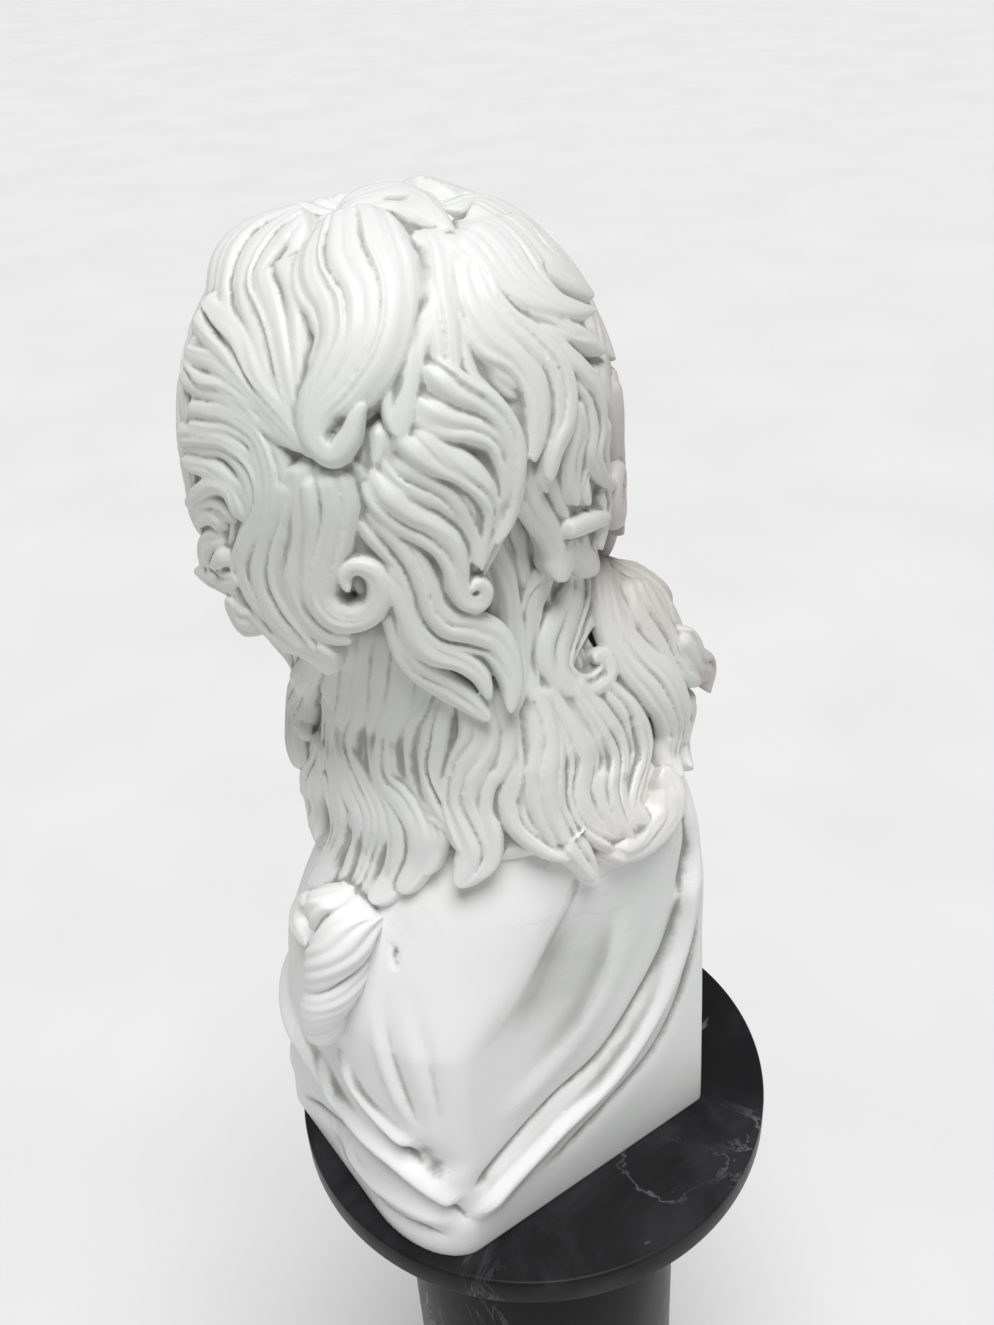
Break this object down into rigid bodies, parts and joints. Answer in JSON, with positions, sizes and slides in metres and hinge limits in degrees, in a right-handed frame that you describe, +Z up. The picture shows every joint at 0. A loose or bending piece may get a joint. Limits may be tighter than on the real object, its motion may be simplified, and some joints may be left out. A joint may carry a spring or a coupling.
{
  "type": "marble bust on column pedestal",
  "caption": "Classical white marble bust with long wavy hair and a mantle, standing on a round black marble column pedestal.",
  "frame": {"origin": "on the axis of the round column, at the underside of the plinth", "axes": "+Z up; the bust faces -Y, and +X is its left-hand side"},
  "size_m": [0.42, 0.42, 1.513],
  "materials": {
    "white_marble": "white marble with faint grey veins, softly polished",
    "black_marble": "near-black marble with light grey veins, polished"
  },
  "bodies": {
    "root": {"marble_bust": "white_marble", "column_top_plate": "black_marble", "column_shaft": "black_marble", "base_ring": "black_marble", "plinth": "black_marble"}
  },
  "joints": []
}
